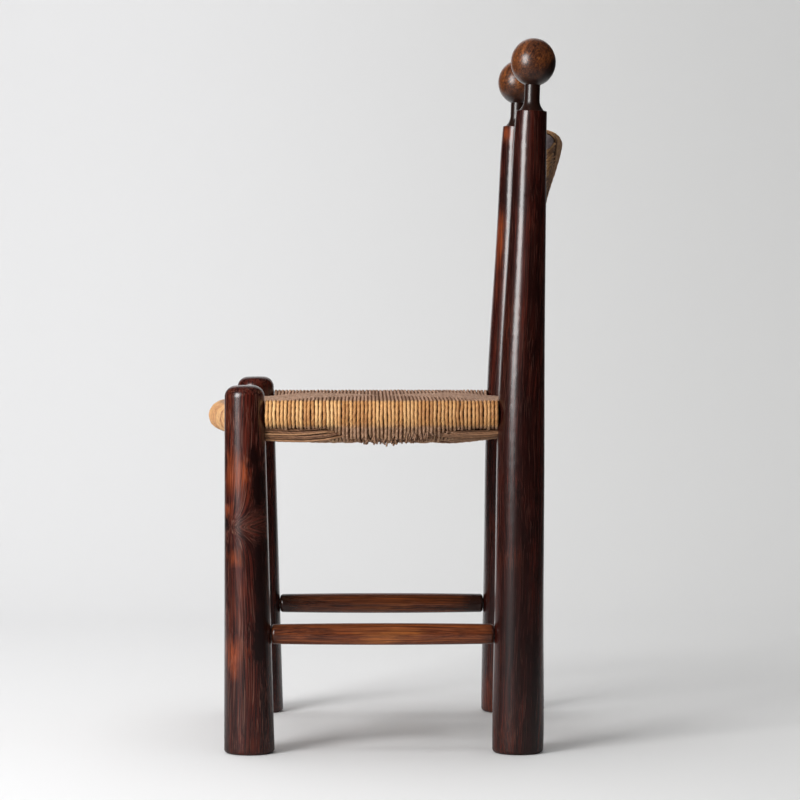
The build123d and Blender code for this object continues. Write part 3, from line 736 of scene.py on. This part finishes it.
BACK_R, BACK_PITCH = 0.0024, 0.0045
SLACK = 0.0011  # between the cords and the rails that they turn round
WAIST = 0.014  # thickness of the back half way up
TOP_BOW, BOTTOM_BOW = 0.036, 0.014
BACK_TONES = [(0.98, 0.58, 0.250), (0.64, 0.300, 0.102), (0.27, 0.110, 0.036), (0.026, 0.009, 0.005)]
back_finish = rush_material("back_rush", BACK_TONES, WEATHERED_AND_SHEEN, variety=0.6)

# The back's rails and rods, as the frame has them, and where the rails' axes meet the posts.
TOP_Z, BOTTOM_Z = middle_of("back_rail_top")[2], middle_of("back_rail_bottom")[2]
BACK_RAIL_R = half_height("back_rail_bottom")
ROD_X = middle_of("back_side_rod_left")[0]
ROD_R = round(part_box("back_side_rod_left")[1].x - ROD_X, 4)
TOP_POST_Y = round(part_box("back_rail_top")[1].y - BACK_RAIL_R - TOP_BOW, 5)
BOTTOM_POST_Y = round(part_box("back_rail_bottom")[1].y - BACK_RAIL_R - BOTTOM_BOW, 5)
HALF_TALL, HALF_WAY_Z = (TOP_Z - BOTTOM_Z) / 2, (TOP_Z + BOTTOM_Z) / 2
BACK_WRAP_R, ROD_WRAP_R = BACK_RAIL_R + SLACK + BACK_R, ROD_R + BACK_R


def back_middle_y(x, z):
    """Where the middle of the woven back lies at x and z."""
    share = (z - BOTTOM_Z) / (TOP_Z - BOTTOM_Z)
    post = BOTTOM_POST_Y + (TOP_POST_Y - BOTTOM_POST_Y) * share
    return post + bow_at(BOTTOM_BOW, x) + (bow_at(TOP_BOW, x) - bow_at(BOTTOM_BOW, x)) * share


def back_half(x, z):
    """Half the distance between the front and the rear layer's centre lines at x and z."""
    waist = WAIST / 2 - BACK_R
    edge = ROD_WRAP_R + (BACK_WRAP_R - ROD_WRAP_R) * 0.1
    waist += (edge - waist) * min(abs(x) / ROD_X, 1.0) ** 4
    up = abs(z - HALF_WAY_Z) / HALF_TALL
    return waist + (BACK_WRAP_R - waist) * smooth(0, 1, up) ** 0.8


def back_turn(centre, inward, reach, wrap_r, chance, lift, slant=0.0):
    """One turn of cord round a rail or a rod of the back: in front, round it, and back behind. slant is how
    much higher it lies behind a rod than in front. A slanting turn is pulled thin where it goes round."""
    centre, inward = Vector(centre), Vector(inward)
    straight_steps, turn_steps = max(2, int(reach / 0.009)), 16
    rail_edge = 0.004  # the straight runs end this far from the rail's axis
    uneven = 0.0003
    front_dust, rear_dust, inner_dust = 0.1, 0.4, 0.2
    pulled_thin = 0.64
    inside = centre + inward * (reach + 0.002)
    inside_y = back_middle_y(inside.x, inside.z)
    points = []

    def lay(u, side, extra=0.0):
        """Adds a point in front (side -1) or behind (side 1)."""
        spot = centre + inward * u
        y = back_middle_y(spot.x, spot.z) + side * (back_half(spot.x, spot.z) + extra)
        z = spot.z + side * slant * smooth(0.03, 0.0, u)
        points.append((spot.x, y, z, rear_dust if side > 0 else front_dust, 1.0))

    points.append((inside.x, inside_y - 0.001, inside.z, inner_dust, 1.0))
    lay(reach, -1, lift)
    for i in range(1, straight_steps):
        u = reach * (1 - i / straight_steps)
        if u > rail_edge:
            lay(u, -1, lift * smooth(0.03, 0.0, reach - u) + chance.uniform(-uneven, uneven))
    for i in range(turn_steps + 1):
        angle = math.pi * i / turn_steps
        spot = centre - inward * math.sin(angle) * wrap_r
        side = -math.cos(angle)
        wide = back_half(spot.x, spot.z) if slant else wrap_r
        girth = 1 - pulled_thin * (1 - abs(side) ** 12) if slant else 1.0
        dust_and_sheen = front_dust + (rear_dust - front_dust) * max(side, 0) ** 8
        points.append((spot.x, centre.y + side * wide, spot.z + side * slant, dust_and_sheen, girth))
    for i in range(1, straight_steps):
        u = reach * i / straight_steps
        if u > rail_edge:
            lay(u, 1, chance.uniform(-uneven, uneven))
    lay(reach, 1, lift)
    points.append((inside.x, inside_y + 0.001, inside.z, inner_dust, 1.0))
    return points


def back_sector(name):
    """The turns on one rail or rod of the back, as a list of centre lines."""
    chance = random.Random(name)
    # The rods' turns leave the corners free, and end a margin short of them. The rails' turns lap into them.
    corner, lap, margin = 0.012, 0.006, 0.004
    paths = []
    if name in ("top", "bottom"):
        sign, z = (-1, TOP_Z) if name == "top" else (1, BOTTOM_Z)
        bow, post_y = (TOP_BOW, TOP_POST_Y) if name == "top" else (BOTTOM_BOW, BOTTOM_POST_Y)
        half_run = ROD_X - corner + lap
        count = round(2 * half_run / BACK_PITCH)
        for i in range(count + 1):
            x = (2 * i / count - 1) * half_run + chance.uniform(-0.00012, 0.00012)
            reach = min(ROD_X - abs(x) + corner, HALF_TALL - 0.001)
            centre = (x, post_y + bow_at(bow, x), z)
            paths.append(back_turn(centre, (0, 0, sign), reach, BACK_WRAP_R, chance, lift=0.0006))
        return paths
    sign = 1 if name == "left" else -1
    half_run = HALF_TALL - corner - margin
    count = round(2 * half_run / BACK_PITCH)
    for i in range(count + 1):
        z = HALF_WAY_Z + (2 * i / count - 1) * half_run + chance.uniform(-0.0003, 0.0003)
        reach = HALF_TALL - abs(z - HALF_WAY_Z) - corner + margin
        centre = (sign * ROD_X, back_middle_y(ROD_X, z), z)
        slant = 0.0145 + chance.uniform(-0.0012, 0.0012)
        paths.append(back_turn(centre, (-sign, 0, 0), reach, ROD_WRAP_R, chance, lift=-0.0004, slant=slant))
    return paths


# Round the rods the turns lie aslant, so what lies across them is aslant too.
ACROSS_ROD = (0, -0.65, 0.76)
for seed, name, across in (
    (31, "top", (1, 0, 0)), (32, "bottom", (1, 0, 0)), (33, "left", ACROSS_ROD), (34, "right", ACROSS_ROD)
):
    sizes = dict(Cord_radius=BACK_R, Wander=0.0004, Across=across)
    lay_cords("back_rush_" + name, back_sector(name), back_finish, "back_rush", seed, **sizes)

# ---------------------------------------------------------------------------------------------------------
# Studio: a roll of pale paper that curves up on the chair's right, a tall soft lamp at its front left, a wide
# one overhead that reflections don't see, and a room that is pale in front, above and on the right.
# ---------------------------------------------------------------------------------------------------------


def paper_roll(name, wall_x, front_x, half_width, tall, bend_r, bend_steps=16):
    """A floor that bends up into a wall at wall_x."""
    profile = [(front_x, 0.0)]
    for i in range(bend_steps + 1):
        angle = math.pi / 2 * i / bend_steps
        profile.append((wall_x + bend_r - bend_r * math.sin(angle), bend_r - bend_r * math.cos(angle)))
    profile.append((wall_x, tall))
    points = [(x, y, z) for x, z in profile for y in (-half_width, half_width)]
    faces = [(2 * i, 2 * i + 1, 2 * i + 3, 2 * i + 2) for i in range(len(profile) - 1)]
    mesh = bpy.data.meshes.new(name)
    mesh.from_pydata(points, [], faces)
    for polygon in mesh.polygons:
        polygon.use_smooth = True
    made = bpy.data.objects.new(name, mesh)
    bpy.context.scene.collection.objects.link(made)
    return made


backdrop = paper_roll("backdrop", wall_x=-2.6, front_x=7.0, half_width=7.0, tall=5.0, bend_r=1.2)
paper, board = new_material("backdrop_paper")
depth, across, _ = board.node("ShaderNodeSeparateXYZ", None, board.node("ShaderNodeTexCoord")["Object"])
# Painted shade: the paper's colour darkens towards the chair's rear, standing in for the light falling off.
shade = board.mix(across.ramp(-0.8, 0.9), (0.83, 0.83, 0.835), (0.73, 0.73, 0.725))
# Reflections see paper as wide as a real roll, and the dark studio beside it.
mirrored = board.node("ShaderNodeLightPath")["Is Glossy Ray"]
on_roll = across.ramp(-1.9, -0.9) * across.ramp(1.8, 0.8) * depth.ramp(1.9, 0.9)
beside = 1 - on_roll * (1 - depth.ramp(-1.6, 0.6) * 0.75)
shade = board.mix(mirrored * beside, shade, (0.03, 0.03, 0.03))
# From behind and below the paper isn't there, so that the chair can be seen from every side.
look = dict(Base_Color=shade, Roughness=0.8, Specular_IOR_Level=0.1)
solid = board.node("ShaderNodeBsdfPrincipled", None, **look)[0]
clear = board.node("ShaderNodeBsdfTransparent")[0]
reverse = board.node("ShaderNodeNewGeometry")["Backfacing"]
one_sided = board.node("ShaderNodeMixShader", None, reverse, solid, clear)[0]
board.node("ShaderNodeOutputMaterial", None, one_sided)
backdrop.data.materials.append(paper)


def soft_lamp(name, place, aim, size, power):
    lamp = bpy.data.lights.new(name, "AREA")
    lamp.shape, lamp.size, lamp.size_y, lamp.energy = "RECTANGLE", size[0], size[1], power
    holder = bpy.data.objects.new(name, lamp)
    bpy.context.scene.collection.objects.link(holder)
    holder.location = place
    holder.rotation_euler = (Vector(aim) - Vector(place)).to_track_quat("-Z", "Y").to_euler()
    return holder


soft_lamp("key", place=(2.57, -2.29, 1.62), aim=(0.1, 0, 0.72), size=(1.5, 2.1), power=118)
overhead = soft_lamp("overhead", place=(-0.3, -0.5, 3.4), aim=(-0.3, -0.2, 0), size=(3.2, 3.2), power=46)
overhead.visible_glossy = False

# The room's light in each direction. The camera sees an even pale wall, and reflections an almost dark one.
room = bpy.data.worlds.new("room")
bpy.context.scene.world = room
room.use_nodes = True
room.node_tree.nodes.clear()
board = Board(room.node_tree)
x, y, z = board.node("ShaderNodeSeparateXYZ", None, board.node("ShaderNodeTexCoord")["Generated"])
level = 0.30 * y.ramp(0.35, -0.75) + 0.34 * z.ramp(0.1, 0.9) + 0.20 * x.ramp(-0.2, -0.9) + 0.04
rays = board.node("ShaderNodeLightPath")
level = level * (1 - rays["Is Glossy Ray"] * 0.95)
light = board.node("ShaderNodeCombineXYZ", None, level, level, level)[0]
colour = board.mix(rays["Is Camera Ray"], light, (0.76, 0.76, 0.765))
sky = board.node("ShaderNodeBackground", None, colour, 1.0)[0]
board.node("ShaderNodeOutputWorld", None, sky)

# ---------------------------------------------------------------------------------------------------------
# Camera: far off at the chair's left side, level with the foot of its back, with a long lens. It looks a
# little down, and a little towards the chair's rear.
# ---------------------------------------------------------------------------------------------------------

FOCAL_LENGTH, SENSOR_WIDTH = 140.76, 36.0
CAMERA_AWAY, CAMERA_Y, CAMERA_Z = 4.069, -0.0207, 0.608  # away from the left leg's and post's axes
LOOKS_DOWN, LOOKS_REARWARD = 2.076, 0.55  # degrees

lens = bpy.data.cameras.new("side_view")
lens.lens, lens.sensor_width = FOCAL_LENGTH, SENSOR_WIDTH
lens.clip_end = 50
camera = bpy.data.objects.new("side_view", lens)
bpy.context.scene.collection.objects.link(camera)
camera.location = (HALF_WIDTH + CAMERA_AWAY, CAMERA_Y, CAMERA_Z)
camera.rotation_euler = (math.radians(90 - LOOKS_DOWN), 0, math.radians(90 - LOOKS_REARWARD))
bpy.context.scene.camera = camera

bpy.context.scene.view_settings.view_transform = "Standard"
bpy.context.view_layer.update()
